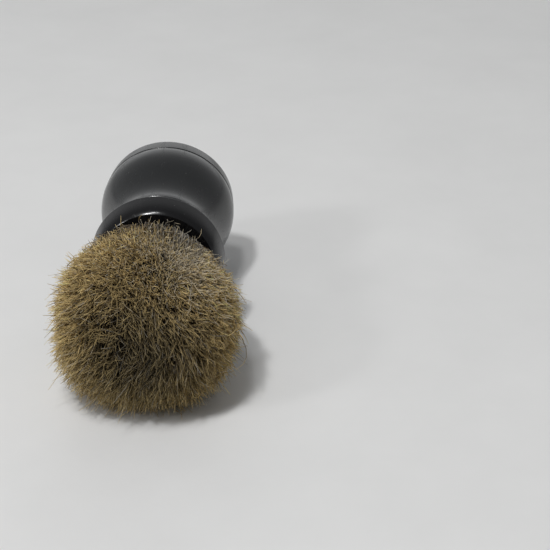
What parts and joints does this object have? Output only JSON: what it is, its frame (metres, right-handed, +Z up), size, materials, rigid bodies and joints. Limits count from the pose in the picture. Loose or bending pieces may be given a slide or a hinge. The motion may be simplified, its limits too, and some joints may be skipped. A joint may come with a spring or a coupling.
{
  "type": "shaving brush",
  "caption": "Shaving brush lying on its side: turned bulb handle with a foot disc, a screwed-on bead collar and a flared knot of natural hair that springs back when bent.",
  "frame": {"origin": "middle of the brush's footprint, on the table it lies on", "axes": "+Z up from the table; the brush's axis lies in the YZ plane, with the hair towards -Y and the foot towards +Y; +X is to the right seen from the hair's end"},
  "size_m": [0.0428, 0.0852, 0.0422],
  "materials": {
    "handle_black": "black, polished by use, fine handling marks",
    "collar_black": "jet black, high gloss",
    "plaster": "cast, chalky",
    "fibre": "matt vulcanised fibre",
    "cup_metal": "drawn, satin",
    "cement": "cured amber resin",
    "cord": "waxed cotton cord",
    "hair": "natural hair, tan with dark roots, dry"
  },
  "bodies": {
    "handle": {"handle_body": "handle_black", "foot_disc": "handle_black", "handle_filling": "plaster"},
    "washer": {"collar_washer": "fibre"},
    "knot": {"collar": "collar_black", "knot_cup": "cup_metal", "knot_cement": "cement", "knot_binding": "cord", "hair_root": "hair"},
    "crown": {"bristle_crown": "hair"}
  },
  "joints": [
    {"name": "collar_lift", "type": "slide", "parent": "handle", "child": "washer", "axis": [0, -0.9986, 0.0523], "range_m": [0, 0.0061]},
    {"name": "collar_turn", "type": "hinge", "parent": "washer", "child": "knot", "pos_m": [0, 0.0114, 0.01905], "axis": [0, -0.9986, 0.0523], "range_deg": [0, 1080]},
    {"name": "hair_bend", "type": "hinge", "parent": "knot", "child": "crown", "pos_m": [0, 0.00231, 0.01952], "axis": [0, 0, 1], "range_deg": [-20, 20], "stiffness_Nm_per_rad": 0.04}
  ],
  "couplings": [
    {"joint": "collar_lift", "follows": "collar_turn", "m_per_rad": 0.00031831}
  ]
}
